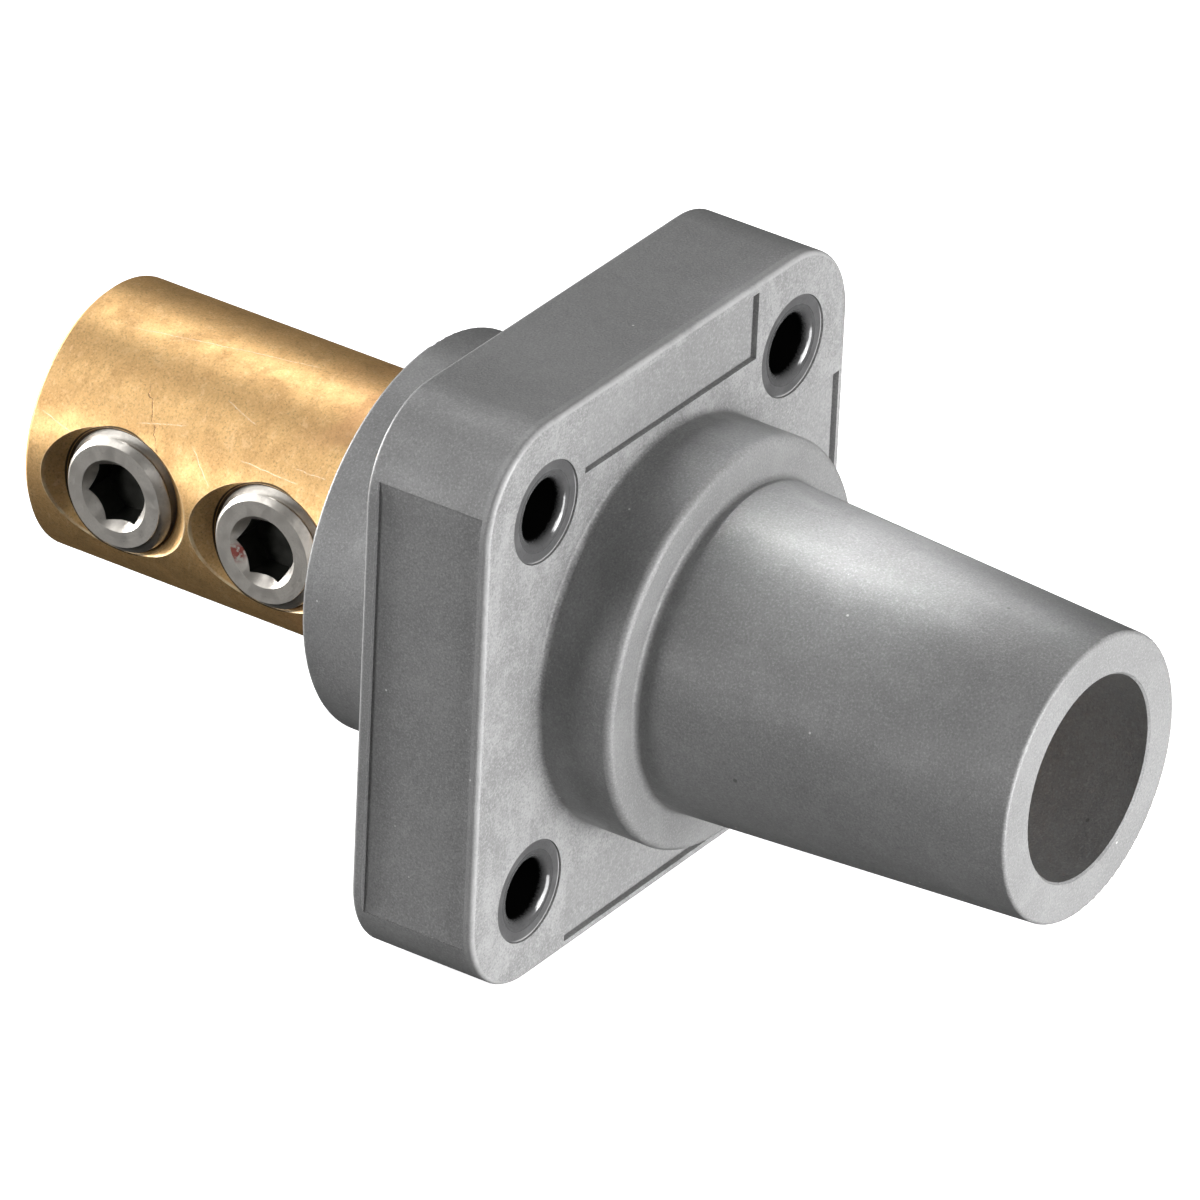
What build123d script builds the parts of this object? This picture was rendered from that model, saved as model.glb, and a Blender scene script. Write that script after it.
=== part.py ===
from build123d import *
import os

# Single pole panel receptacle, in millimetres.
# The origin is the centre of the flange's rear face, which seats on the panel.
# The nose points along -Y, the conductor barrel along +Y, and +Z is up.

# Flange
flange_width = 57.15
flange_thickness = 13.3
flange_corner_radius = 8.9
flange_front_edge = 0.6
flange_rear_edge = 0.4

# Collar and tapered nose in front of the flange
collar_radius = 19.7
collar_length = 7.9
collar_root_fillet = 0.6
collar_edge = 0.8
nose_base_radius = 15.92
nose_tip_radius = 13.78
nose_length = 38.25
nose_root_fillet = 0.6
nose_tip_edge = 0.4
nose_bore_radius = 9.8
nose_mouth_edge = 0.2

# Boss behind the flange, which passes through the panel
boss_radius = 19.35
boss_length = 12.85
boss_edge = 0.4

# Shallow recessed panels of the flange: three on the front face and one on the -X side
front_panel_length = 27.2
front_panel_edge_margin = 0.9
front_panel_height = 6.8
front_panel_depth = 0.6
side_panel_end_margin = 6.4
side_panel_front_margin = 1.0
side_panel_rear_margin = 1.1
side_panel_depth = 0.5

# Mounting bushings, bell-mouthed at the front face
hole_edge_distance = 8.99
bushing_bore_radius = 2.9
bushing_body_radius = 4.2
bushing_head_radius = 4.95
bushing_head_thickness = 1.6
bushing_mouth_radius = 0.9
bushing_set_back = 0.2
bushing_rear_chamfer = 0.3

# Brass contact: socket sleeve in the nose, body in the flange, barrel behind the boss
contact_radius = 13.05
barrel_length = 35.85
barrel_end_chamfer = 0.5
sleeve_radius = 10.8
sleeve_recess = 25.45
shoulder_setback = 0.7
socket_radius = 7.95
socket_depth = 32.0
socket_mouth_chamfer = 0.8
socket_relief_depth = 0.6
socket_relief_margin = 0.3
drill_point_share = 0.6
groove_place = 3.0
groove_width = 3.2
groove_depth = 1.2

# Conductor bore and the countersunk holes of the set screws that clamp the conductor
conductor_bore_radius = 7.0
conductor_bore_depth = 34.75
conductor_mouth_chamfer = 0.7
screw_end_distance = 10.19
screw_pitch = 16.63
countersink_radius = 8.1
countersink_depth = 1.75

# Set screw with a hexagon socket and a cup point
screw_radius = 5.95
screw_setback = 0.18
screw_chamfer = 0.86
screw_tip_chamfer = 0.9
key_across_flats = 6.0
key_depth = 3.5
key_lead_in = 0.12
key_turn_rear = -20.0
key_turn_front = -30.0
cup_radius = 3.6
cup_depth = 0.8

# Cam pin pressed through the wall of the socket
cam_pin_radius = 2.4
cam_pin_distance = 16.0
cam_pin_reach = 3.4
cam_pin_end_chamfer = 0.4

# Clearances
moulding_clearance = 0.04
screw_clearance = 0.05
pin_clearance = 0.02
screw_tip_clearance = 0.15

# Reach of the cutters past a surface, and the limits of the fillets beside the collar's land
past_surface = 1.0
fillet_spare = 0.02
collar_edge_share = 0.55
nose_root_share = 0.35

# Places along Y and across the flange, worked out from the sizes above
flange_half = flange_width / 2
flange_front = -flange_thickness
collar_front = flange_front - collar_length
nose_tip = collar_front - nose_length
sleeve_front = nose_tip + sleeve_recess
shoulder = flange_front - shoulder_setback
barrel_end = boss_length + barrel_length
bore_floor = barrel_end - conductor_bore_depth
hole_offset = flange_half - hole_edge_distance
collar_land = collar_radius - nose_base_radius
countersink_floor = contact_radius - countersink_depth
screw_rear_place = barrel_end - screw_end_distance
screw_front_place = screw_rear_place - screw_pitch
screws = {
    "set_screw_rear": (screw_rear_place, key_turn_rear),
    "set_screw_front": (screw_front_place, key_turn_front),
}
bushing_places = {
    "mounting_bushing_top_left": (-hole_offset, hole_offset),
    "mounting_bushing_top_right": (hole_offset, hole_offset),
    "mounting_bushing_bottom_left": (-hole_offset, -hole_offset),
    "mounting_bushing_bottom_right": (hole_offset, -hole_offset),
}
screw_top = contact_radius - screw_setback
screw_length = screw_top - conductor_bore_radius - screw_tip_clearance
cam_pin_place = sleeve_front + cam_pin_distance


def outline(points, rounded=()):
    """Closed flat outline of (radius, place) points, with the named corners rounded."""
    face = make_face(Polyline(*points, close=True))
    for corner, radius in rounded:
        vertex = face.vertices().sort_by_distance(corner)[0]
        face = fillet(vertex, radius)
    return face


def turned(points, rounded=()):
    """Solid of revolution about the Y axis."""
    return revolve(outline(points, rounded), Axis.Y)


def along_x(radius, inner, outer, y):
    """Cylinder on the -X side, from the distance inner to the distance outer from the axis."""
    return Pos(-(inner + outer) / 2, y, 0) * Rot(0, 90, 0) * Cylinder(radius, outer - inner)


def along_y(radius, start, end, x=0, z=0):
    """Cylinder parallel to Y, from the place start to the place end."""
    return Pos(x, (start + end) / 2, z) * Rot(90, 0, 0) * Cylinder(radius, end - start)


def contact_steps(gap):
    """Outer steps of the contact as (radius, place), grown by a gap all round."""
    groove_front = groove_place + gap
    groove_rear = groove_place + groove_width - gap
    groove_floor = contact_radius - groove_depth + gap
    return [
        (sleeve_radius + gap, sleeve_front - gap),
        (sleeve_radius + gap, shoulder - gap),
        (contact_radius + gap, shoulder - gap),
        (contact_radius + gap, groove_front),
        (groove_floor, groove_front),
        (groove_floor, groove_rear),
        (contact_radius + gap, groove_rear),
    ]


def flange_plate():
    """Square plate with round corners and softened front and rear edges."""
    square = RectangleRounded(flange_width, flange_width, flange_corner_radius)
    plate = extrude(Plane.XZ * square, flange_thickness)
    plate = fillet(plate.faces().sort_by(Axis.Y)[0].edges(), flange_front_edge)
    return fillet(plate.faces().sort_by(Axis.Y)[-1].edges(), flange_rear_edge)


def turned_body():
    """Nose, collar and boss as one turned form, with a fillet where each meets the next."""
    foot = min(collar_root_fillet, flange_half - collar_radius - past_surface)
    foot_end = collar_radius + foot + fillet_spare
    flange_middle = flange_front / 2
    collar_edge_limit = collar_land * collar_edge_share
    nose_root_limit = collar_land * nose_root_share
    points = [
        (0, nose_tip),
        (nose_tip_radius, nose_tip),
        (nose_base_radius, collar_front),
        (collar_radius, collar_front),
        (collar_radius, flange_front),
        (foot_end, flange_front),
        (foot_end, flange_middle),
        (boss_radius, flange_middle),
        (boss_radius, boss_length),
        (0, boss_length),
    ]
    rounded = [
        ((nose_tip_radius, nose_tip), nose_tip_edge),
        ((nose_base_radius, collar_front), min(nose_root_fillet, nose_root_limit)),
        ((collar_radius, collar_front), min(collar_edge, collar_edge_limit)),
        ((collar_radius, flange_front), foot),
        ((boss_radius, boss_length), boss_edge),
    ]
    return turned(points, rounded)


def contact_seat():
    """Space inside the housing: the nose bore, then the seat that grips the contact."""
    mouth = nose_bore_radius + nose_mouth_edge
    steps = contact_steps(moulding_clearance)
    points = [(0, nose_tip - past_surface), (mouth, nose_tip - past_surface), (mouth, nose_tip)]
    points += [(nose_bore_radius, nose_tip + nose_mouth_edge), (nose_bore_radius, steps[0][1])]
    points += steps
    points += [(steps[-1][0], boss_length + past_surface), (0, boss_length + past_surface)]
    return turned(points)


def front_panels():
    """Cutters of the three recessed panels, at the top, right and bottom of the front face."""
    outer = flange_half - front_panel_edge_margin
    reach = front_panel_depth + collar_length
    panel = Box(front_panel_length, reach, front_panel_height)
    panel = Pos(0, flange_front + front_panel_depth - reach / 2, outer - front_panel_height / 2) * panel
    return [panel.rotate(Axis.Y, turn) for turn in (0, 90, 180)]


def side_panel():
    """Cutter of the long recessed panel on the -X side of the flange."""
    length = flange_width - 2 * side_panel_end_margin
    width = flange_thickness - side_panel_front_margin - side_panel_rear_margin
    middle = flange_front + side_panel_front_margin + width / 2
    reach = side_panel_depth + past_surface
    return Pos(-flange_half + side_panel_depth - reach / 2, middle, 0) * Box(reach, width, length)


def bushing_hole(x, z):
    """Stepped hole of one mounting bushing."""
    body_radius = bushing_body_radius + moulding_clearance
    head_radius = bushing_head_radius + moulding_clearance
    mouth = flange_front - past_surface
    head_floor = flange_front + bushing_set_back + bushing_head_thickness + moulding_clearance
    return along_y(body_radius, mouth, past_surface, x, z) + along_y(head_radius, mouth, head_floor, x, z)


def housing():
    """One-piece moulding: flange, collar, nose and boss, hollow for the contact."""
    body = flange_plate() + turned_body()
    body -= contact_seat()
    for panel in front_panels():
        body -= panel
    body -= side_panel()
    for x, z in bushing_places.values():
        body -= bushing_hole(x, z)
    return body


def contact():
    """Turned brass contact, bored from both ends and drilled for the screws and the cam pin."""
    steps = contact_steps(0)
    points = [(0, sleeve_front)] + steps
    points += [(contact_radius, barrel_end - barrel_end_chamfer)]
    points += [(contact_radius - barrel_end_chamfer, barrel_end), (0, barrel_end)]
    body = turned(points)
    body -= bored(socket_radius, sleeve_front, sleeve_front + socket_depth, socket_mouth_chamfer)
    body -= bored(conductor_bore_radius, barrel_end, bore_floor, conductor_mouth_chamfer)
    for place, _ in screws.values():
        body -= screw_hole(place)
    relief_half = cam_pin_radius + socket_relief_margin
    relief_radius = socket_radius + socket_relief_depth
    body -= along_y(relief_radius, cam_pin_place - relief_half, cam_pin_place + relief_half)
    pin_hole = Cylinder(cam_pin_radius + pin_clearance, sleeve_radius + past_surface)
    body -= Pos(0, cam_pin_place, (sleeve_radius + past_surface) / 2) * pin_hole
    return body


def screw_hole(place):
    """Cutter of one tapped hole: its drilling on the -X side, and the countersink round its mouth."""
    hole_radius = screw_radius + screw_clearance
    widening = (countersink_radius - hole_radius) / countersink_depth * past_surface
    sink_length = countersink_depth + past_surface
    sink = Cone(hole_radius, countersink_radius + widening, sink_length)
    sink = Pos(-countersink_floor - sink_length / 2, place, 0) * Rot(0, -90, 0) * sink
    return along_x(hole_radius, 0, contact_radius, place) + sink


def bored(radius, mouth, floor, chamfer_size):
    """Cutter of a drilled hole from its mouth to its floor, with a chamfer and a drill point."""
    inward = 1 if floor > mouth else -1
    return turned([
        (0, mouth - inward * past_surface),
        (radius + chamfer_size + past_surface, mouth - inward * past_surface),
        (radius, mouth + inward * chamfer_size),
        (radius, floor),
        (0, floor + inward * radius * drill_point_share),
    ])


def set_screw(place, key_turn):
    """Set screw along -X: chamfered rim, hexagon socket and cup point."""
    rim = screw_radius - screw_chamfer
    tip = screw_radius - screw_tip_chamfer
    key_corner = key_across_flats / 3 ** 0.5
    shank = make_face(Polyline(
        (0, 0, cup_depth),
        (cup_radius, 0, 0),
        (tip, 0, 0),
        (screw_radius, 0, screw_tip_chamfer),
        (screw_radius, 0, screw_length - screw_chamfer),
        (rim, 0, screw_length),
        (0, 0, screw_length),
        close=True,
    ))
    screw = revolve(shank, Axis.Z)
    key = RegularPolygon(key_corner, 6, rotation=key_turn)
    screw -= Pos(0, 0, screw_length - key_depth) * extrude(key, key_depth + past_surface)
    mouth = key_corner + key_lead_in
    screw -= Pos(0, 0, screw_length - mouth / 2) * Cone(0, mouth, mouth)
    return Pos(-screw_top + screw_length, place, 0) * Rot(0, -90, 0) * screw


def mounting_bushing(x, z):
    """Metal bushing with a bell-mouthed head, as long as the flange is thick."""
    front = flange_front + bushing_set_back
    bushing = turned(
        [
            (bushing_bore_radius, front),
            (bushing_head_radius, front),
            (bushing_head_radius, front + bushing_head_thickness),
            (bushing_body_radius, front + bushing_head_thickness),
            (bushing_body_radius, -bushing_rear_chamfer),
            (bushing_body_radius - bushing_rear_chamfer, 0),
            (bushing_bore_radius, 0),
        ],
        [((bushing_bore_radius, front), bushing_mouth_radius)],
    )
    return Pos(x, 0, z) * bushing


def cam_pin():
    """Pin that stands into the socket and draws the mating plug home when it turns."""
    inner = socket_radius - cam_pin_reach
    outer = (sleeve_radius ** 2 - cam_pin_radius ** 2) ** 0.5 - pin_clearance
    pin = Cylinder(cam_pin_radius, outer - inner)
    pin = chamfer(pin.edges().sort_by(Axis.Z)[0], cam_pin_end_chamfer)
    return Pos(0, cam_pin_place, (inner + outer) / 2) * pin


os.makedirs("parts", exist_ok=True)
export_step(housing(), "parts/housing.step")
export_step(contact(), "parts/contact.step")
export_step(cam_pin(), "parts/cam_pin.step")
for name, (place, key_turn) in screws.items():
    export_step(set_screw(place, key_turn), f"parts/{name}.step")
for name, (x, z) in bushing_places.items():
    export_step(mounting_bushing(x, z), f"parts/{name}.step")
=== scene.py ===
import math

import bmesh
import bpy
from bpy.props import FloatProperty, FloatVectorProperty, PointerProperty
from mathutils import Matrix, Vector


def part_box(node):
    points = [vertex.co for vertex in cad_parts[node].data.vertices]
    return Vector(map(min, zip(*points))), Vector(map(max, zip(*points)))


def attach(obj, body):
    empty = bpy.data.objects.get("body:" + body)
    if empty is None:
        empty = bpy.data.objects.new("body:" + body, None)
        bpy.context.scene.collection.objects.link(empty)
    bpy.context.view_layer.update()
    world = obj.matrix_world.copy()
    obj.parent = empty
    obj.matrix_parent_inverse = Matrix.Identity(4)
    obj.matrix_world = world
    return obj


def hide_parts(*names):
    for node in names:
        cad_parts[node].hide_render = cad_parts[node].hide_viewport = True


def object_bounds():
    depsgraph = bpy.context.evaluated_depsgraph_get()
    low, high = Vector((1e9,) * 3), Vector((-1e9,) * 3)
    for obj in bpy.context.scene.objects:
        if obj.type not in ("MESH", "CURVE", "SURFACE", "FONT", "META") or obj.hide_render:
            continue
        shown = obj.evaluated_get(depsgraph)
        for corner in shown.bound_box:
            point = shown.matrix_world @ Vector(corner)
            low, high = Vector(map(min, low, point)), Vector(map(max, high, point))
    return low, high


bl_info = {
    "name": "Single Pole Receptacle",
    "version": (1, 0, 0),
    "blender": (4, 5, 0),
    "location": "View3D > Sidebar > Receptacle",
    "description": "Dresses a panel-mount single pole receptacle and sets up its stage",
    "category": "Add Mesh",
}

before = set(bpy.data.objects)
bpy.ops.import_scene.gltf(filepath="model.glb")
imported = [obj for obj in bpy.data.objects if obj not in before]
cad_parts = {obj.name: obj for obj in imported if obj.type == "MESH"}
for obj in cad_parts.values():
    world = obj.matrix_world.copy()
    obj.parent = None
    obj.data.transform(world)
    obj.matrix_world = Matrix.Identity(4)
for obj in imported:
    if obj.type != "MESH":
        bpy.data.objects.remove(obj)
cad_low, cad_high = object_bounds()

MM = 0.001
BUSHINGS = [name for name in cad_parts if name.startswith("mounting_bushing")]
# Body that each set screw rides on, and how far its socket is turned, in degrees
SET_SCREWS = {"set_screw_rear": ("rear_screw", -20.0), "set_screw_front": ("front_screw", -30.0)}

# Places and sizes of the solids, which the pieces and the marks follow
BARREL_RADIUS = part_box("contact")[1].x
BUSHING_SET_BACK = 0.2 * MM
FLANGE_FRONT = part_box(BUSHINGS[0])[0].y - BUSHING_SET_BACK
FLANGE_CORNER = 8.9 * MM
THREAD_CLEARANCE = 0.05 * MM
COUNTERSINK_RADIUS = 8.1 * MM
COUNTERSINK_DEPTH = 1.75 * MM

# Set screws: chamfer and cup of the point, fall of the socket's lead-in, and fineness of the thread.
# 108 steps a turn put vertices on the corners of both sockets.
TIP_CHAMFER = 0.9 * MM
CUP_RADIUS = 3.6 * MM
CUP_DEPTH = 0.8 * MM
LEAD_SLOPE = 1.2
TURN_STEPS = 108
FLANK_STEPS = 5
ALONG_MINUS_X = Matrix(((0, 0, -1), (0, 1, 0), (1, 0, 0))).to_4x4()

# Marks on the barrel of the contact, from end to end: (way round from the -X side, place along Y), in mm
SCRATCHES = (
    ((7.65, 31.42), (4.23, 28.27)),
    ((7.72, 26.48), (7.46, 19.36)),
    ((8.69, 20.54), (8.81, 16.89)),
    ((5.76, 47.78), (4.57, 43.75)),
    ((7.59, 37.64), (8.94, 32.42)),
    ((15.94, 44.28), (19.9, 23.55)),
    ((12.6, 30.1), (11.2, 25.9)),
)
SCRATCH_WIDTH, SCRATCH_WANDER = 0.17 * MM, 0.4 * MM
CRACKS = (
    ((11.8, 38.2), (8.0, 35.9)),
    ((8.2, 35.9), (5.5, 34.5)),
)
CRACK_WIDTH, CRACK_WANDER = 0.16 * MM, 1.6 * MM
# The barrel's copper tint grows from the first of these places along Y to the second
COPPER_SPAN = (24 * MM, 15 * MM)
# Red stain in the mouth of the front screw's socket: its place from the screw's axis and its reach
STAIN_Y, STAIN_Z = 3.05 * MM, -1.2 * MM
STAIN_REACH_Y, STAIN_REACH_Z = 1.0 * MM, 1.1 * MM

# Colours of marks, wear and shade
DUST = (0.75, 0.75, 0.74, 1)
DULL_BRASS = (0.52, 0.30, 0.12, 1)
PALE_BRASS = (0.90, 0.63, 0.33, 1)
DARK_GRAIN = (0.42, 0.25, 0.10, 1)
PALE_GRAIN = (0.95, 0.72, 0.42, 1)
COPPER = (0.66, 0.33, 0.17, 1)
SCRATCH = (0.98, 0.82, 0.58, 1)
CRACK = (0.13, 0.06, 0.03, 1)
BURR = (0.98, 0.80, 0.52, 1)
BRASS_SHADOW = (0.03, 0.018, 0.01, 1)
CLOUDED_STEEL = (0.62, 0.59, 0.54, 1)
STEEL_PIT = (0.2, 0.19, 0.18, 1)
STEEL_SHADOW = (0.05, 0.045, 0.04, 1)
# Painted shade in the set screws' sockets
SOCKET_SHADE_DARK = (0.03, 0.03, 0.027, 1)
SOCKET_SHADE_PALE = (0.10, 0.10, 0.09, 1)
STAIN = (0.36, 0.03, 0.015, 1)
GROUND_PALE = (0.56, 0.56, 0.57, 1)
GROUND_DARK = (0.42, 0.42, 0.43, 1)
PLATE_BLOOM = (0.2, 0.2, 0.202, 1)
PLATE_GRIT = (0.07, 0.07, 0.072, 1)

# Soft square panels aimed at the origin: direction, distance and side in metres, power in watts
PANELS = {
    "near_front_panel": ((0.02, -0.98, -0.18), 0.42, 0.3, 2.05),
    "high_front_panel": ((-0.06, -0.95, 0.28), 1.0, 0.5, 5.8),
    "right_front_panel": ((0.12, -0.98, 0.06), 0.6, 0.2, 1.4),
    "back_panel": ((-0.05, 0.99, 0.11), 1.0, 0.5, 19.5),
    "left_back_panel": ((-0.35, 0.93, 0.05), 1.0, 0.3, 2.4),
    "top_panel": ((0.33, 0.43, 0.84), 1.0, 0.4, 2.2),
    "left_panel": ((-0.82, 0.57, 0.02), 1.0, 0.4, 1.42),
    "low_left_panel": ((-0.85, 0.48, 0.21), 1.0, 0.3, 2.1),
    "high_left_panel": ((-0.50, 0.48, 0.73), 1.0, 0.3, 1.2),
}
# Small lamps: direction, spread in degrees, power in watts, and the place in mm that each is aimed at
LAMPS = {
    "top_lamp_back": ((0.35, 0.30, 0.89), 3.6, 6.9, (3.7, -31.0, 14.9)),
    "top_lamp_front": ((0.35, 0.30, 0.89), 3.6, 1.6, (3.6, -37.0, 14.6)),
    "left_lamp": ((0.35, 0.30, 0.89), 3.6, 3.0, (-10.1, -37.0, 11.2)),
    "right_lamp": ((0.72, 0.30, 0.62), 6.0, 2.04, (0.0, -42.0, 14.5)),
    "wide_lamp": ((-0.30, 0.30, 0.90), 10.0, 0.16, (-3.0, -36.0, 14.0)),
    "barrel_lamp": ((0.46, 0.48, 0.75), 8.0, 0.45, (-3.0, 31.0, 12.5)),
    "screw_lamp": ((-0.727, -0.477, 0.495), 7.0, 0.3, (-13.0, 30.0, -1.0)),
}
LAMP_DISTANCE = 0.35
LAMP_RADIUS = 0.01

FLOOR_RADIUS = 6.0
# Place in metres and directions of the camera, as the photograph was taken
CAMERA_PLACE = Vector((-1.060564, -0.702148, 0.721538))
CAMERA_FORWARD = Vector((0.726686, 0.476592, -0.494761))
CAMERA_RIGHT = Vector((0.566957, -0.822767, 0.040172))
CAMERA_UP = CAMERA_RIGHT.cross(CAMERA_FORWARD)


# Sizes and colours that a user would change

class HousingLook(bpy.types.PropertyGroup):
    """Finish of the grey moulding"""

    tone: FloatVectorProperty(
        name="Tone", description="Colour of the moulding", subtype="COLOR",
        size=3, min=0, max=1, default=(0.24, 0.24, 0.24),
    )
    worn_tone: FloatVectorProperty(
        name="Worn tone", description="Colour of the pale clouds and patches", subtype="COLOR",
        size=3, min=0, max=1, default=(0.34, 0.34, 0.34),
    )
    roughness: FloatProperty(
        name="Roughness", description="Roughness of the moulded surface", subtype="FACTOR",
        min=0, max=1, default=0.42,
    )
    grain: FloatProperty(
        name="Grain depth", description="Depth of the mould texture", subtype="DISTANCE",
        min=0, max=0.001, default=0.00003,
    )


class ContactLook(bpy.types.PropertyGroup):
    """Finish of the brass contact"""

    bright: FloatVectorProperty(
        name="Bright brass", description="Colour of the clean brass", subtype="COLOR",
        size=3, min=0, max=1, default=(0.80, 0.505, 0.215),
    )
    tarnished: FloatVectorProperty(
        name="Tarnished brass", description="Colour of the handled, dull brass", subtype="COLOR",
        size=3, min=0, max=1, default=(0.62, 0.37, 0.15),
    )
    roughness: FloatProperty(
        name="Roughness", description="Roughness of the machined brass", subtype="FACTOR",
        min=0, max=1, default=0.47,
    )
    burr: FloatProperty(
        name="Burr", description="Width of the bright burr round each countersink",
        subtype="DISTANCE", min=0, max=0.001, default=0.00016,
    )
    # Width of the painted shadow in the gap round each screw
    gap: FloatProperty(
        name="Thread shadow", description="Width of the dark thread start round each screw",
        subtype="DISTANCE", min=0, max=0.002, default=0.00045,
    )


class ScrewLook(bpy.types.PropertyGroup):
    """Form and finish of the set screws"""

    pitch: FloatProperty(
        name="Thread pitch", description="Distance from one turn of the thread to the next",
        subtype="DISTANCE", min=0.0005, max=0.003, default=0.00175,
    )
    depth: FloatProperty(
        name="Thread depth", description="Depth of the thread from crest to root",
        subtype="DISTANCE", min=0.0002, max=0.002, default=0.00085,
    )
    rim: FloatProperty(
        name="Rim chamfer", description="Width of the chamfer between the ring and the thread",
        subtype="DISTANCE", min=0.0001, max=0.002, default=0.00086,
    )
    key: FloatProperty(
        name="Key size", description="Width of the hexagon socket across its flats",
        subtype="DISTANCE", min=0.002, max=0.008, default=0.00556,
    )
    key_depth: FloatProperty(
        name="Key depth", description="Depth of the hexagon socket",
        subtype="DISTANCE", min=0.001, max=0.005, default=0.0035,
    )
    lead: FloatProperty(
        name="Socket lead-in", description="Width of the socket's round mouth beyond its corners",
        subtype="DISTANCE", min=0.00005, max=0.001, default=0.00037,
    )
    steel: FloatVectorProperty(
        name="Steel", description="Colour of the turned steel", subtype="COLOR",
        size=3, min=0, max=1, default=(0.78, 0.74, 0.68),
    )


class BushingLook(bpy.types.PropertyGroup):
    """Finish of the mounting bushings"""

    metal: FloatVectorProperty(
        name="Metal", description="Colour of the dark plated metal", subtype="COLOR",
        size=3, min=0, max=1, default=(0.15, 0.15, 0.152),
    )
    mouth: FloatProperty(
        name="Mouth", description="Radius of the bell mouth, within which the metal is glossy",
        subtype="DISTANCE", min=0.002, max=0.005, default=0.0038,
    )


class StageLook(bpy.types.PropertyGroup):
    """Floor, lights and camera"""

    floor: FloatVectorProperty(
        name="Floor", description="Colour of the floor", subtype="COLOR",
        size=3, min=0, max=1, default=(0.95, 0.95, 0.95),
    )
    glow: FloatProperty(
        name="Backdrop", description="Brightness of the white backdrop behind everything",
        min=0, max=5, default=1.0,
    )
    panels: FloatProperty(
        name="Panels", description="Strength of the soft panels as a share of their set powers",
        min=0, max=5, default=1.0,
    )
    lamps: FloatProperty(
        name="Lamps", description="Strength of the small lamps as a share of their set powers",
        min=0, max=5, default=1.0,
    )
    lens: FloatProperty(
        name="Lens", description="Focal length of the camera",
        unit="CAMERA", min=10, max=1000, default=483.85,
    )


# Materials

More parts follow.
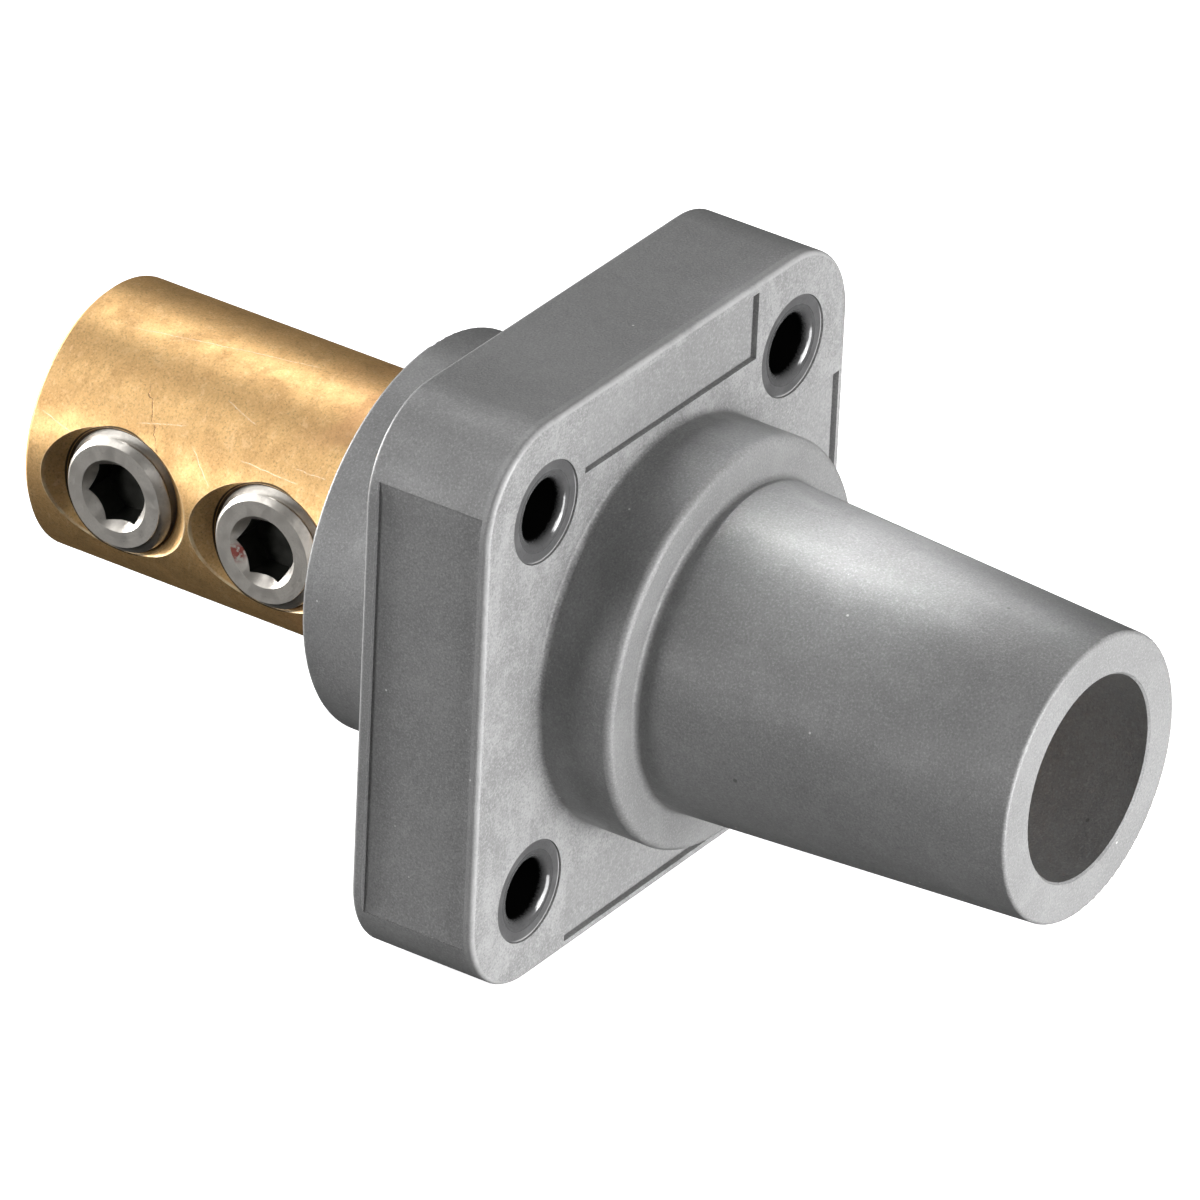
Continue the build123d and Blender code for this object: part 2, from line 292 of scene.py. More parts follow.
class Skin:
    """One material: its shader, its Object coordinates and the nodes that vary it."""

    def __init__(self, name):
        self.material = bpy.data.materials.new(name)
        self.material.use_nodes = True
        self.tree = self.material.node_tree
        self.shader = self.tree.nodes["Principled BSDF"]
        self.place = self.tree.nodes.new("ShaderNodeTexCoord").outputs["Object"]

    def add(self, kind, **settings):
        """New node with its settings."""
        node = self.tree.nodes.new(kind)
        for key, value in settings.items():
            setattr(node, key, value)
        return node

    def feed(self, socket, source):
        """Links a source to a socket, or sets the socket's own value."""
        if isinstance(source, bpy.types.NodeSocket):
            self.tree.links.new(source, socket)
        else:
            socket.default_value = source

    def mapped(self, where=None, scale=(1, 1, 1), turn=(0, 0, 0), shift=(0, 0, 0)):
        """Object coordinates, or others, that are scaled, then turned, then shifted."""
        node = self.add("ShaderNodeMapping")
        self.feed(node.inputs["Vector"], where or self.place)
        self.feed(node.inputs["Scale"], scale)
        self.feed(node.inputs["Rotation"], turn)
        self.feed(node.inputs["Location"], shift)
        return node.outputs["Vector"]

    def noise(self, size, detail=3, rough=0.5, warp=0, where=None):
        """Noise from 0 to 1 with features of about the given size in metres."""
        node = self.add("ShaderNodeTexNoise")
        self.feed(node.inputs["Vector"], where or self.place)
        self.feed(node.inputs["Scale"], 1 / size)
        self.feed(node.inputs["Detail"], detail)
        self.feed(node.inputs["Roughness"], rough)
        self.feed(node.inputs["Distortion"], warp)
        return node.outputs[0]

    def rings(self, across, size):
        """Noise that changes only with the distance from an axis."""
        node = self.add("ShaderNodeTexNoise", noise_dimensions="1D")
        self.feed(node.inputs["W"], across)
        self.feed(node.inputs["Scale"], 1 / size)
        self.feed(node.inputs["Detail"], 2.0)
        return node.outputs[0]

    def cells(self, size, where=None):
        """Distance to the nearest of scattered points, about the given size in metres apart."""
        node = self.add("ShaderNodeTexVoronoi")
        self.feed(node.inputs["Vector"], where or self.place)
        self.feed(node.inputs["Scale"], 1 / size)
        return node.outputs["Distance"]

    def maths(self, operation, a, b=0.0):
        """One step of arithmetic."""
        node = self.add("ShaderNodeMath", operation=operation)
        for socket, source in zip(node.inputs, (a, b)):
            self.feed(socket, source)
        return node.outputs[0]

    def plus(self, a, b):
        """Sum of two values."""
        return self.maths("ADD", a, b)

    def minus(self, a, b):
        """Difference of two values."""
        return self.maths("SUBTRACT", a, b)

    def times(self, value, *others):
        """Product of values or masks."""
        for other in others:
            value = self.maths("MULTIPLY", value, other)
        return value

    def largest(self, value, *others):
        """Largest of some values."""
        for other in others:
            value = self.maths("MAXIMUM", value, other)
        return value

    def step(self, value, low, high, from_value=0.0, to_value=1.0, way="SMOOTHSTEP"):
        """Change from one value to another as the input goes from low to high."""
        node = self.add("ShaderNodeMapRange", interpolation_type=way)
        for socket, source in zip(node.inputs, (value, low, high, from_value, to_value)):
            self.feed(socket, source)
        return node.outputs[0]

    def near(self, value, reach):
        """One where the value is zero, fading to nothing at a reach on either side."""
        return self.step(self.maths("ABSOLUTE", value), reach, 0.3 * reach)

    def split(self, vector):
        """The three parts of a vector."""
        node = self.add("ShaderNodeSeparateXYZ")
        self.feed(node.inputs[0], vector)
        return node.outputs

    def flat(self, x, y):
        """Vector with two given parts."""
        node = self.add("ShaderNodeCombineXYZ")
        self.feed(node.inputs["X"], x)
        self.feed(node.inputs["Y"], y)
        return node.outputs[0]

    def radius(self, a, b):
        """Distance from an axis, from the two parts across it."""
        return self.maths("SQRT", self.plus(self.times(a, a), self.times(b, b)))

    def over(self, base, coat, *masks):
        """Lays a colour over another, as much as the product of the masks says."""
        node = self.add("ShaderNodeMix", data_type="RGBA")
        self.feed(node.inputs[0], self.times(*masks))
        self.feed(node.inputs[6], base)
        self.feed(node.inputs[7], coat)
        return node.outputs[2]

    def bump(self, height, distance, strength, normal=None):
        """Normal bent by a height."""
        node = self.add("ShaderNodeBump")
        self.feed(node.inputs["Height"], height)
        self.feed(node.inputs["Distance"], distance)
        self.feed(node.inputs["Strength"], strength)
        if normal is not None:
            self.feed(node.inputs["Normal"], normal)
        return node.outputs["Normal"]

    def finish(self, **sockets):
        """Sets or links the shader's sockets by name, with underscores for spaces."""
        for name, source in sockets.items():
            self.feed(self.shader.inputs[name.replace("_", " ")], source)
        return self.material


def colour(value):
    """A property's colour with its alpha."""
    return (*value, 1.0)


def grey(value):
    """Neutral colour with its alpha."""
    return (value, value, value, 1.0)


def moulded_grey(look):
    """Matte elastomer: cloudy, finely grained, with dust, dark specks and painted highlights along the
    flange's edges.
    """
    skin = Skin("moulded_grey")
    x, y, z = skin.split(skin.place)
    clouds = skin.noise(14 * MM, detail=4, rough=0.55)
    patches = skin.noise(3.4 * MM, detail=6, rough=0.62, warp=0.7)
    smears = skin.noise(6 * MM, detail=5, rough=0.6, warp=0.5, where=skin.mapped(scale=(1.4, 1.0, 0.8)))
    grain = skin.noise(0.21 * MM, detail=2, rough=0.65)
    speckle = skin.noise(0.5 * MM, detail=3, rough=0.6)
    ripple = skin.noise(2.2 * MM, detail=3, rough=0.55)
    front = skin.times(skin.step(y, FLANGE_FRONT + 0.4 * MM, FLANGE_FRONT + 0.1 * MM),
                       skin.step(y, FLANGE_FRONT - 1.2 * MM, FLANGE_FRONT - 0.3 * MM))
    patchy = skin.step(front, 0.0, 1.0, 0.3, 0.8)
    grainy = skin.step(front, 0.0, 1.0, 0.45, 0.6)
    worn = colour(look.worn_tone)
    base = skin.over(colour(look.tone), worn, skin.step(clouds, 0.38, 0.66, 0.0, 0.3))
    base = skin.over(base, worn, skin.step(patches, 0.5, 0.7), patchy)
    base = skin.over(base, grey(0.36), skin.step(smears, 0.46, 0.62, 0.0, 0.6), front)
    base = skin.over(base, grey(0.17), skin.step(smears, 0.42, 0.3, 0.0, 0.35), front)
    base = skin.over(base, grey(0.18), skin.step(patches, 0.46, 0.3, 0.0, 0.2))
    base = skin.over(base, grey(0.15), skin.step(grain, 0.48, 0.3), grainy)
    base = skin.over(base, grey(0.42), skin.step(grain, 0.52, 0.68), grainy)
    base = skin.over(base, grey(0.38), skin.step(speckle, 0.55, 0.72, 0.0, 0.55), grainy)
    # Painted highlight along the flange's front crest, the strip behind it and its rear edge
    base = skin.over(base, grey(0.48), flange_edge_highlights(skin, x, y, z))
    base = skin.over(base, DUST, skin.step(skin.cells(4.2 * MM), 0.035, 0.02, 0.0, 0.8))
    specks = skin.cells(7.5 * MM, skin.mapped(shift=(0.013, 0.007, 0.021)))
    base = skin.over(base, grey(0.07), skin.step(specks, 0.04, 0.02, 0.0, 0.6))
    rough = skin.step(patches, 0.3, 0.75, look.roughness + 0.06, look.roughness - 0.05)
    normal = skin.bump(grain, look.grain, 0.8)
    normal = skin.bump(ripple, 6 * look.grain, 0.35, normal)
    return skin.finish(Base_Color=base, Roughness=rough, Normal=normal, Specular_IOR_Level=0.5)


def flange_edge_highlights(skin, x, y, z):
    """Mask of the painted highlights along the flange's edges: its front crest, the strip behind that, and
    its rear edge, broken up in patches.
    """
    straight = cad_high.x - FLANGE_CORNER
    past = [skin.largest(skin.minus(skin.maths("ABSOLUTE", part), straight), 0.0) for part in (x, z)]
    reach = skin.radius(*past)
    crest = skin.times(skin.step(reach, FLANGE_CORNER - 0.5 * MM, FLANGE_CORNER - 0.3 * MM),
                       skin.step(y, FLANGE_FRONT + 0.5 * MM, FLANGE_FRONT + 0.25 * MM, 0.0, 0.7))
    strip = skin.times(skin.step(reach, FLANGE_CORNER - 0.12 * MM, FLANGE_CORNER - 0.05 * MM),
                       skin.step(y, FLANGE_FRONT + 1.2 * MM, FLANGE_FRONT + 1.0 * MM, 0.0, 0.3))
    from_rear = skin.maths("ABSOLUTE", skin.plus(y, 0.2 * MM))
    rear = skin.times(skin.step(reach, FLANGE_CORNER - 0.4 * MM, FLANGE_CORNER - 0.2 * MM),
                      skin.step(from_rear, 0.3 * MM, 0.1 * MM, 0.0, 0.12))
    # Breaks the painted highlight up in patches
    worn = skin.step(skin.noise(2.5 * MM, detail=4), 0.35, 0.6, 0.55, 0.9)
    return skin.times(skin.largest(crest, strip, rear), worn)


def handled_brass(look):
    """Machined brass: speckled and mottled, with pale scratches, dark cracks, burred countersinks and
    painted shadow round the screws.
    """
    skin = Skin("handled_brass")
    x, y, z = skin.split(skin.place)
    across = skin.radius(x, z)
    outside = skin.step(across, BARREL_RADIUS - 0.2 * MM, BARREL_RADIUS - 0.1 * MM)
    mottle = skin.noise(3.5 * MM, detail=6, rough=0.62, warp=0.5)
    blotch = skin.noise(1.1 * MM, detail=5, rough=0.65, warp=0.8)
    fine = skin.noise(0.22 * MM, detail=3, rough=0.65)
    turning = skin.noise(1 * MM, detail=2, where=skin.mapped(scale=(0.05, 4.0, 0.05)))
    base = skin.over(colour(look.bright), colour(look.tarnished), skin.step(mottle, 0.4, 0.64, 0.0, 0.6))
    base = skin.over(base, DULL_BRASS, skin.step(blotch, 0.52, 0.68, 0.0, 0.42))
    base = skin.over(base, PALE_BRASS, skin.step(blotch, 0.46, 0.32, 0.0, 0.5))
    base = skin.over(base, DARK_GRAIN, skin.step(fine, 0.52, 0.68, 0.0, 0.6))
    base = skin.over(base, PALE_GRAIN, skin.step(fine, 0.46, 0.32, 0.0, 0.35))
    tint = skin.step(skin.noise(5 * MM), 0.4, 0.62, 0.0, 0.4)
    base = skin.over(base, COPPER, skin.step(y, *COPPER_SPAN), tint)
    round_way = skin.times(skin.maths("ARCTAN2", z, skin.times(x, -1.0)), BARREL_RADIUS)
    unrolled = skin.flat(round_way, y)
    scratches = marked_lines(skin, unrolled, SCRATCHES, SCRATCH_WIDTH, SCRATCH_WANDER)
    scratches = skin.times(scratches, outside, skin.step(fine, 0.35, 0.6, 0.1, 0.75))
    base = skin.over(base, SCRATCH, scratches)
    cracks = marked_lines(skin, unrolled, CRACKS, CRACK_WIDTH, CRACK_WANDER)
    cracks = skin.times(cracks, outside, skin.step(blotch, 0.35, 0.55, 0.2, 1.0))
    nicks = skin.step(skin.cells(1.6 * MM), 0.06, 0.02, 0.0, 0.7)
    nicks = skin.times(nicks, skin.step(skin.noise(4 * MM), 0.46, 0.6))
    base = skin.over(base, CRACK, skin.largest(cracks, nicks), 0.8)
    burr, shade = countersink_marks(skin, look, x, y, z, across)
    base = skin.over(base, BURR, burr, skin.step(blotch, 0.35, 0.6, 0.2, 0.9))
    # Painted shadow in the gap round each set screw
    base = skin.over(base, BRASS_SHADOW, shade)
    rough = skin.step(mottle, 0.3, 0.72, look.roughness - 0.05, look.roughness + 0.08)
    normal = skin.bump(turning, 0.01 * MM, 0.5)
    normal = skin.bump(mottle, 0.05 * MM, 0.3, normal)
    normal = skin.bump(skin.plus(scratches, cracks), -0.02 * MM, 0.6, normal)
    return skin.finish(Base_Color=base, Roughness=rough, Normal=normal, Metallic=0.75)


def marked_lines(skin, where, lines, width, wander):
    """Mask of thin lines between pairs of (way round, place along) points, in mm."""
    marks = 0.0
    waver = skin.times(skin.minus(skin.noise(1.4 * MM, detail=4, rough=0.6), 0.5), wander)
    for start, end in lines:
        start, end = Vector(start) * MM, Vector(end) * MM
        length = (end - start).length
        angle = math.atan2(end.y - start.y, end.x - start.x)
        shift = -(Matrix.Rotation(-angle, 2) @ start)
        along, off, _ = skin.split(skin.mapped(where, turn=(0, 0, -angle), shift=(*shift, 0)))
        mark = skin.times(
            skin.near(skin.plus(off, waver), width / 2),
            skin.step(along, 0.0, 0.2 * length),
            skin.step(along, length, 0.9 * length),
        )
        marks = skin.largest(marks, mark)
    return marks


def countersink_marks(skin, look, x, y, z, across):
    """Masks of the bright burr at each countersink's mouth and of the painted shadow in the gap round each
    screw at its foot, weaker on the -Y side.
    """
    burrs, shades = 0.0, 0.0
    outward = skin.step(x, -8 * MM, -9 * MM)
    outside = skin.step(across, BARREL_RADIUS - 0.25 * MM, BARREL_RADIUS - 0.1 * MM)
    lower = skin.step(z, 2 * MM, -2 * MM, 0.25, 1.0)
    depth = skin.plus(x, BARREL_RADIUS)
    for name in SET_SCREWS:
        low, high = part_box(name)
        hole = (high.y - low.y) / 2 + THREAD_CLEARANCE
        along = skin.minus(y, (low.y + high.y) / 2)
        away = skin.radius(along, z)
        sink = skin.step(depth, 0.0, COUNTERSINK_DEPTH, COUNTERSINK_RADIUS, hole, way="LINEAR")
        burr = skin.times(skin.near(skin.minus(away, sink), look.burr), outside, lower)
        burrs = skin.largest(burrs, burr)
        turn = skin.near(skin.minus(away, hole + 0.5 * look.gap), 0.12 * look.gap)
        shade = skin.times(
            skin.step(away, hole + look.gap, hole + 0.85 * look.gap),
            outward,
            skin.step(along, -4.5 * MM, -1 * MM, 0.25, 1.0),
            skin.minus(1.0, skin.times(turn, 0.5)),
        )
        shades = skin.largest(shades, shade)
    return burrs, skin.times(shades, 0.93)


def turned_steel(look, name, centre, top, radius):
    """Satin steel with tool rings about the screw's own axis, painted shade in its socket and painted
    shadow in its thread roots.
    """
    skin = Skin(f"{name}_steel")
    x, y, z = skin.split(skin.place)
    y = skin.minus(y, centre.y)
    across = skin.radius(y, z)
    depth = skin.minus(x, top)
    cloud = skin.noise(1.2 * MM, detail=4, rough=0.6)
    base = skin.over(colour(look.steel), CLOUDED_STEEL, skin.step(cloud, 0.4, 0.7))
    base = skin.over(base, STEEL_PIT, skin.step(skin.cells(0.8 * MM), 0.12, 0.04, 0.0, 0.3))
    mouth = look.key / math.sqrt(3) + look.lead
    socket = socket_shade_mask(skin, look, across, depth, mouth)
    # Painted shade down the socket: near-black walls and floor
    base = skin.over(base, skin.over(SOCKET_SHADE_DARK, SOCKET_SHADE_PALE, cloud), socket)
    if name == "set_screw_front":
        base = skin.over(
            base, STAIN, skin.near(skin.minus(y, STAIN_Y), STAIN_REACH_Y),
            skin.near(skin.minus(z, STAIN_Z), STAIN_REACH_Z),
            skin.step(skin.noise(0.5 * MM), 0.38, 0.52),
            skin.step(across, mouth + 0.02 * MM, mouth - 0.05 * MM),
            skin.minus(1.0, socket), 0.85,
        )
    # How far a place lies under the cone of the rim chamfer or the cylinder of the crests
    surface = skin.maths("MINIMUM", skin.plus(depth, radius - look.rim), radius)
    hollow = skin.minus(surface, across)
    base = skin.over(
        base, STEEL_SHADOW, skin.step(hollow, 0.1 * MM, 0.45 * MM),
        skin.step(across, mouth + 0.3 * MM, mouth + 0.5 * MM),
        skin.step(z, 3.6 * MM, 1.5 * MM),
        skin.step(y, -4.5 * MM, -1 * MM, 0.35, 1.0),
        skin.step(depth, 0.08 * MM, 0.2 * MM),
    )
    rough = skin.step(cloud, 0.3, 0.7, 0.36, 0.48)
    normal = skin.bump(skin.rings(across, 0.16 * MM), 0.012 * MM, 0.5)
    normal = skin.bump(skin.noise(0.15 * MM, detail=2), 0.008 * MM, 0.5, normal)
    return skin.finish(Base_Color=base, Roughness=rough, Normal=normal, Metallic=0.9)


def socket_shade_mask(skin, look, across, depth, mouth):
    """Mask of a hexagon socket's lead-in, walls and floor, which take its painted shade."""
    lead_depth = (mouth - look.key / 2) * LEAD_SLOPE
    lead_in = skin.plus(across, skin.maths("DIVIDE", depth, LEAD_SLOPE))
    sunk_in = skin.largest(skin.step(lead_in, mouth + 0.03 * MM, mouth + 0.08 * MM),
                           skin.step(depth, lead_depth, lead_depth + 0.1 * MM))
    return skin.times(sunk_in, skin.step(across, mouth - 0.03 * MM, mouth - 0.06 * MM))


def ground_steel():
    """Plain ground steel of the cam pin."""
    skin = Skin("ground_steel")
    lines = skin.noise(1 * MM, detail=2, where=skin.mapped(scale=(0.3, 0.3, 6.0)))
    base = skin.over(GROUND_PALE, GROUND_DARK, lines)
    return skin.finish(Base_Color=base, Roughness=skin.step(lines, 0.3, 0.7, 0.22, 0.34), Metallic=1.0)


def dark_plate(look, name, low, high):
    """Dark satin metal of one bushing, with painted shade darkening to black down its bell mouth and a
    painted highlight along the lower edge of its head.
    """
    skin = Skin(f"{name}_plate")
    centre = (low + high) / 2
    outer = (high.x - low.x) / 2
    front, rear = low.y, high.y
    x, y, z = skin.split(skin.place)
    x = skin.minus(x, centre.x)
    z = skin.minus(z, centre.z)
    across = skin.radius(x, z)
    bloom = skin.noise(1.5 * MM, detail=4, rough=0.6)
    grit = skin.noise(0.2 * MM, detail=3, rough=0.65)
    base = skin.over(colour(look.metal), PLATE_BLOOM, skin.step(bloom, 0.4, 0.7, 0.0, 0.4))
    base = skin.over(base, PLATE_GRIT, skin.step(grit, 0.5, 0.75, 0.0, 0.5))
    # Painted highlight: a pale rim along the lower edge of the head
    lower = skin.step(skin.minus(x, z), 1.5 * MM, 4.5 * MM, 0.0, 0.75)
    base = skin.over(base, grey(0.62), skin.step(across, outer - 0.22 * MM, outer - 0.1 * MM), lower)
    # Painted shade: darker down the bell mouth, then near-black deeper in
    ragged = skin.plus(y, skin.step(grit, 0.3, 0.7, -0.12 * MM, 0.12 * MM))
    within = skin.step(y, rear, rear - 0.6 * MM)
    base = skin.over(base, grey(0.05), within, skin.step(y, front + 0.05 * MM, front + 0.6 * MM, 0.0, 0.6))
    base = skin.over(base, grey(0.004), within, skin.step(ragged, front + 0.35 * MM, front + 0.9 * MM))
    satin = skin.step(bloom, 0.3, 0.7, 0.32, 0.44)
    rough = skin.step(across, look.mouth + 0.3 * MM, look.mouth, satin, 0.13)
    return skin.finish(Base_Color=base, Roughness=rough, Metallic=0.5, Specular_IOR_Level=0.4)


def pale_floor(look):
    """Plain white floor, lit from within so that it joins the backdrop."""
    skin = Skin("pale_floor")
    return skin.finish(
        Base_Color=skin.over(colour(look.floor), grey(0.94), skin.noise(0.6)), Roughness=0.95,
        Specular_IOR_Level=0.0, Emission_Color=grey(1.0), Emission_Strength=0.86,
    )


# Mesh helpers

def dress(node_name, material):
    """Gives a CAD node its material."""
    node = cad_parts[node_name]
    if not node.material_slots:
        node.data.materials.append(material)
    for slot in node.material_slots:
        slot.material = material


def piece_from(bm, name, material):
    """New object at the origin from a bmesh, shaded smooth except at its sharp edges."""
    bmesh.ops.remove_doubles(bm, verts=bm.verts, dist=0.0005 * MM)
    bmesh.ops.recalc_face_normals(bm, faces=bm.faces)
    sharp = math.radians(35)
    for edge in bm.edges:
        edge.smooth = len(edge.link_faces) == 2 and edge.calc_face_angle(0) < sharp
    for face in bm.faces:
        face.smooth = True
    mesh = bpy.data.meshes.new(name)
    bm.to_mesh(mesh)
    bm.free()
    mesh.materials.append(material)
    piece = bpy.data.objects.new(name, mesh)
    bpy.context.scene.collection.objects.link(piece)
    return piece


def sunk(bm, edges):
    """Extrudes a loop of edges and gives back the new vertices."""
    made = bmesh.ops.extrude_edge_only(bm, edges=edges)["geom"]
    return {v for v in made if isinstance(v, bmesh.types.BMVert)}


def open_edges(bm, verts):
    """Open edges between some of the vertices."""
    return [e for e in bm.edges if e.is_boundary and all(v in verts for v in e.verts)]


def open_rim(bm, height):
    """Open edges at a height."""
    level = [v for v in bm.verts if abs(v.co.z - height) < 0.001 * MM]
    return open_edges(bm, set(level))


# Set screws

def threaded_screw(look, radius, length, key_turn):
    """Set screw along +Z from its cup point at 0 to its ring at the length."""
    bm = bmesh.new()
    wind_thread(bm, look, radius, length)
    trim_ends(bm, look, radius, length)
    rim, tip = open_rim(bm, length), open_rim(bm, 0)
    cut_socket(bm, look, rim, length, key_turn)
    cut_cup(bm, tip)
    return bm


def wind_thread(bm, look, radius, length):
    """Winds the thread's profile into a helix that passes both ends of the screw."""
    pitch, depth = look.pitch, look.depth
    turns = math.ceil(length / pitch) + 2
    crest, root = pitch / 8, pitch / 4
    flank = (pitch - crest - root) / 2
    shares = [k / FLANK_STEPS for k in range(1, FLANK_STEPS + 1)]
    profile = [(radius - depth, 0.0), (radius - depth, root)]
    profile += [(radius - depth * (1 - share), root + flank * share) for share in shares]
    profile += [(radius, root + flank + crest)]
    profile += [(radius - depth * share, root + flank + crest + flank * share) for share in shares]
    verts = [bm.verts.new((across, 0, along - 1.5 * pitch)) for across, along in profile]
    edges = [bm.edges.new(pair) for pair in zip(verts, verts[1:])]
    bmesh.ops.spin(
        bm, geom=verts + edges, cent=(0, 0, 0), axis=(0, 0, 1), angle=math.tau * turns,
        steps=TURN_STEPS * turns, dvec=(0, 0, pitch / TURN_STEPS),
    )
    bmesh.ops.remove_doubles(bm, verts=bm.verts, dist=0.002 * MM)


def trim_ends(bm, look, radius, length):
    """Cuts the helix off square at both ends and chamfers them."""
    for height, way in ((0, -1), (length, 1)):
        bmesh.ops.bisect_plane(
            bm, geom=bm.verts[:] + bm.edges[:] + bm.faces[:], dist=0.0001 * MM,
            plane_co=(0, 0, height), plane_no=(0, 0, way), clear_outer=True,
        )
    for vert in bm.verts:
        limit = radius - max(0, vert.co.z - (length - look.rim), TIP_CHAMFER - vert.co.z)
        across = vert.co.to_2d().length
        if across > limit:
            vert.co.xy *= limit / across


def cut_socket(bm, look, rim, length, key_turn):
    """Closes the ring with a hexagon socket: round mouth, sloping lead-in, walls and floor."""
    mouth = sunk(bm, rim)
    for vert in mouth:
        vert.co.xy *= (look.key / math.sqrt(3) + look.lead) / vert.co.to_2d().length
    lead_in = sunk(bm, open_edges(bm, mouth))
    for vert in lead_in:
        angle = math.atan2(vert.co.y, vert.co.x) - math.radians(key_turn)
        flat = look.key / 2 / math.cos(angle % (math.pi / 3) - math.pi / 6)
        across = vert.co.to_2d().length
        vert.co.z -= (across - flat) * LEAD_SLOPE
        vert.co.xy *= flat / across
    walls = sunk(bm, open_edges(bm, lead_in))
    for vert in walls:
        vert.co.z = length - look.key_depth
    bmesh.ops.edgeloop_fill(bm, edges=open_edges(bm, walls))


def cut_cup(bm, tip):
    """Closes the point with a hollow cone."""
    cup = sunk(bm, tip)
    for vert in cup:
        vert.co.xy *= CUP_RADIUS / vert.co.to_2d().length
    bottom = sunk(bm, open_edges(bm, cup))
    bmesh.ops.pointmerge(bm, verts=list(bottom), merge_co=(0, 0, CUP_DEPTH))


# Stage helpers

def aim(name, data, place, target):
    """Puts a light at a place and turns it to its target."""
    light = bpy.data.objects.new(name, data)
    light.location = place
    light.rotation_mode = "QUATERNION"
    light.rotation_quaternion = (target - place).to_track_quat("-Z", "Y")
    bpy.context.scene.collection.objects.link(light)


def hang_panel(name, power, direction, distance, size):
    """Soft square panel that faces the origin."""
    data = bpy.data.lights.new(name, "AREA")
    data.energy = power
    data.shape = "SQUARE"
    data.size = size
    aim(name, data, Vector(direction).normalized() * distance, Vector())


def hang_lamp(name, power, direction, spread, target):
    """Small lamp with a soft-edged beam onto a place on the part."""
    data = bpy.data.lights.new(name, "SPOT")
    data.energy = power
    data.spot_size = math.radians(spread)
    data.spot_blend = 1.0
    data.shadow_soft_size = LAMP_RADIUS
    target = Vector(target) * MM
    aim(name, data, target + Vector(direction).normalized() * LAMP_DISTANCE, target)


def lay_floor(look):
    """Round white floor under the flange's lower edge, which throws no light or shadow on the part."""
    bm = bmesh.new()
    bmesh.ops.create_circle(bm, cap_ends=True, radius=FLOOR_RADIUS, segments=96)
    bmesh.ops.translate(bm, verts=bm.verts, vec=(0, 0, cad_low.z))
    floor = piece_from(bm, "floor", pale_floor(look))
    floor.visible_diffuse = False
    floor.visible_glossy = False
    floor.visible_shadow = False


def light_backdrop(look):
    """White backdrop that only the camera sees."""
    world = bpy.data.worlds.new("backdrop")
    world.use_nodes = True
    tree = world.node_tree
    seen = tree.nodes.new("ShaderNodeLightPath").outputs["Is Camera Ray"]
    background = tree.nodes["Background"]
    background.inputs["Color"].default_value = grey(1.0)
    strength = tree.nodes.new("ShaderNodeMath")
    strength.operation = "MULTIPLY"
    strength.inputs[1].default_value = look.glow
    tree.links.new(seen, strength.inputs[0])
    tree.links.new(strength.outputs[0], background.inputs["Strength"])
    bpy.context.scene.world = world


def place_camera(look):
    """Camera at the photograph's viewing angle."""
    data = bpy.data.cameras.new("camera")
    data.lens = look.lens
    data.sensor_width = 36
    data.clip_start = 0.01
    data.clip_end = 100
    camera = bpy.data.objects.new("camera", data)
    turn = Matrix((CAMERA_RIGHT, CAMERA_UP, -CAMERA_FORWARD)).transposed()
    camera.matrix_world = Matrix.Translation(CAMERA_PLACE) @ turn.to_4x4()
    bpy.context.scene.collection.objects.link(camera)
    bpy.context.scene.camera = camera


# Operators

class RECEPTACLE_OT_housing(bpy.types.Operator):
    """Finish the grey moulding"""

    bl_idname = "receptacle.housing"
    bl_label = "Housing"

    def execute(self, context):
        dress("housing", moulded_grey(context.scene.receptacle_housing))
        return {"FINISHED"}


class RECEPTACLE_OT_contact(bpy.types.Operator):
    """Finish the brass contact and its cam pin"""

    bl_idname = "receptacle.contact"
    bl_label = "Contact"

    def execute(self, context):
        dress("contact", handled_brass(context.scene.receptacle_contact))
        dress("cam_pin", ground_steel())
        return {"FINISHED"}


class RECEPTACLE_OT_set_screws(bpy.types.Operator):
    """Cut the two threaded set screws"""

    bl_idname = "receptacle.set_screws"
    bl_label = "Set screws"

    def execute(self, context):
        look = context.scene.receptacle_screws
        for name, (body, key_turn) in SET_SCREWS.items():
            low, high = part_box(name)
            centre = (low + high) / 2
            radius = (high.y - low.y) / 2
            bm = threaded_screw(look, radius, high.x - low.x, key_turn)
            place = Matrix.Translation((high.x, centre.y, centre.z)) @ ALONG_MINUS_X
            bmesh.ops.transform(bm, matrix=place, verts=bm.verts)
            screw = piece_from(bm, f"{name}_threaded", turned_steel(look, name, centre, low.x, radius))
            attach(screw, body)
            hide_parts(name)
        return {"FINISHED"}


class RECEPTACLE_OT_bushings(bpy.types.Operator):
    """Finish the mounting bushings"""

    bl_idname = "receptacle.bushings"
    bl_label = "Bushings"

    def execute(self, context):
        for name in BUSHINGS:
            dress(name, dark_plate(context.scene.receptacle_bushings, name, *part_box(name)))
        return {"FINISHED"}


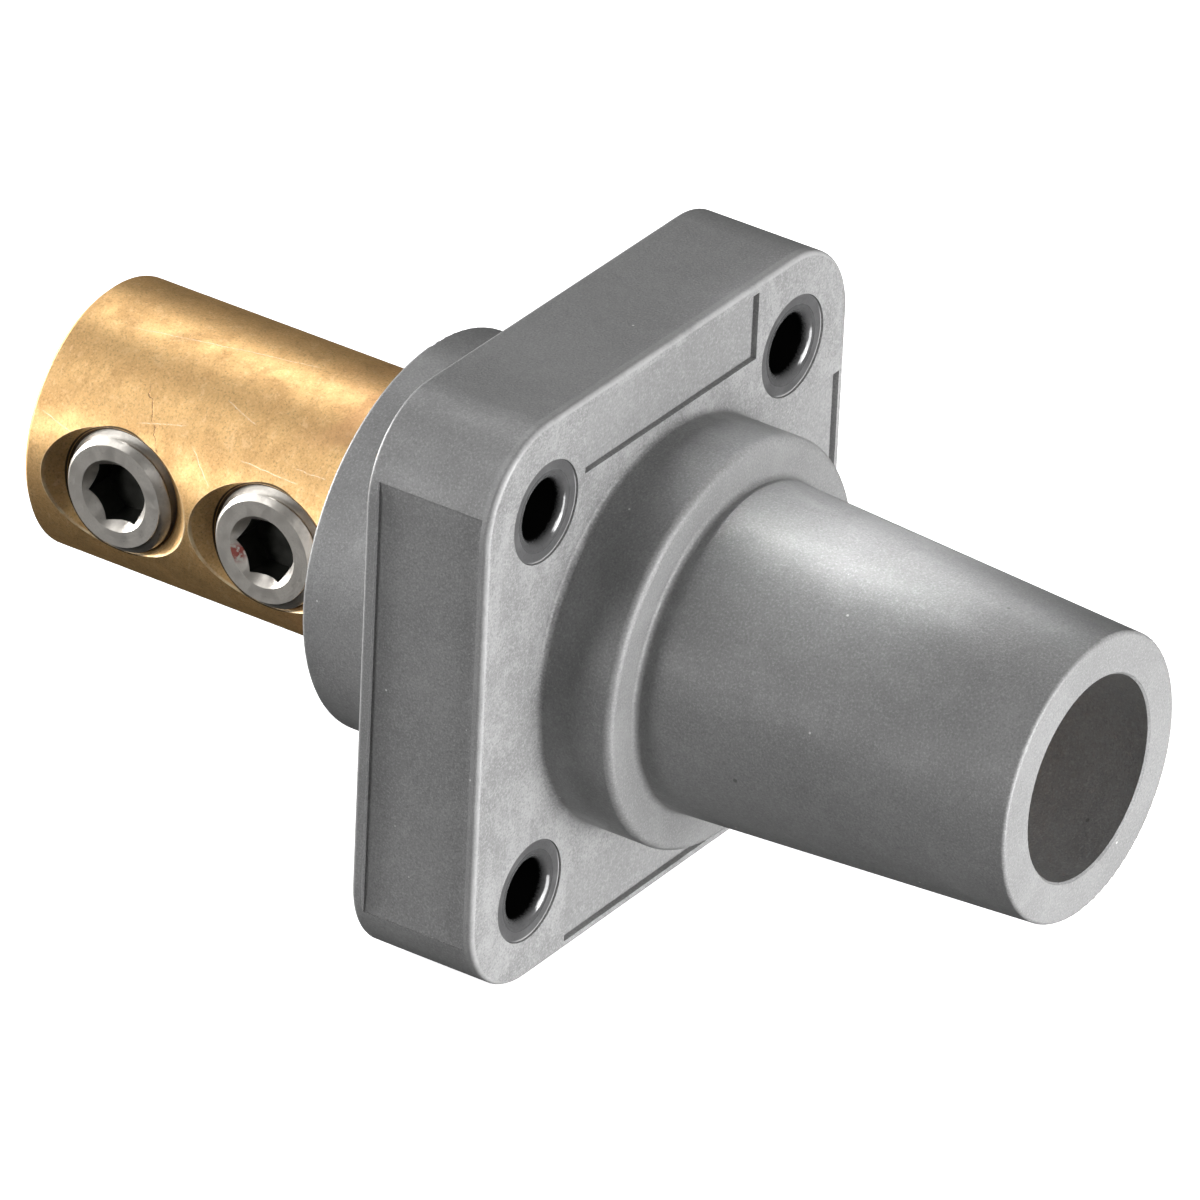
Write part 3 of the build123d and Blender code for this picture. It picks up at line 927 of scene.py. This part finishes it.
class RECEPTACLE_OT_stage(bpy.types.Operator):
    """Lay the floor, set the lights and place the camera"""

    bl_idname = "receptacle.stage"
    bl_label = "Stage"

    def execute(self, context):
        look = context.scene.receptacle_stage
        context.scene.view_settings.view_transform = "Standard"
        lay_floor(look)
        light_backdrop(look)
        for name, (direction, distance, size, power) in PANELS.items():
            hang_panel(name, power * look.panels, direction, distance, size)
        for name, (direction, spread, power, target) in LAMPS.items():
            hang_lamp(name, power * look.lamps, direction, spread, target)
        place_camera(look)
        return {"FINISHED"}


class RECEPTACLE_PT_panel(bpy.types.Panel):
    """Receptacle tools in the sidebar"""

    bl_idname = "RECEPTACLE_PT_panel"
    bl_label = "Receptacle"
    bl_space_type = "VIEW_3D"
    bl_region_type = "UI"
    bl_category = "Receptacle"

    def draw(self, context):
        for operator, group in STEPS:
            box = self.layout.box()
            box.operator(operator.bl_idname)
            settings = getattr(context.scene, group)
            for key in settings.__annotations__:
                box.prop(settings, key)


GROUPS = {
    "receptacle_housing": HousingLook,
    "receptacle_contact": ContactLook,
    "receptacle_screws": ScrewLook,
    "receptacle_bushings": BushingLook,
    "receptacle_stage": StageLook,
}
STEPS = (
    (RECEPTACLE_OT_housing, "receptacle_housing"),
    (RECEPTACLE_OT_contact, "receptacle_contact"),
    (RECEPTACLE_OT_set_screws, "receptacle_screws"),
    (RECEPTACLE_OT_bushings, "receptacle_bushings"),
    (RECEPTACLE_OT_stage, "receptacle_stage"),
)


def register():
    for name, group in GROUPS.items():
        bpy.utils.register_class(group)
        setattr(bpy.types.Scene, name, PointerProperty(type=group))
    for operator, _ in STEPS:
        bpy.utils.register_class(operator)
    bpy.utils.register_class(RECEPTACLE_PT_panel)


def unregister():
    bpy.utils.unregister_class(RECEPTACLE_PT_panel)
    for operator, _ in reversed(STEPS):
        bpy.utils.unregister_class(operator)
    for name, group in GROUPS.items():
        delattr(bpy.types.Scene, name)
        bpy.utils.unregister_class(group)


def main():
    register()
    bpy.ops.receptacle.housing()
    bpy.ops.receptacle.contact()
    bpy.ops.receptacle.set_screws()
    bpy.ops.receptacle.bushings()
    bpy.ops.receptacle.stage()


if __name__ == "__main__":
    main()
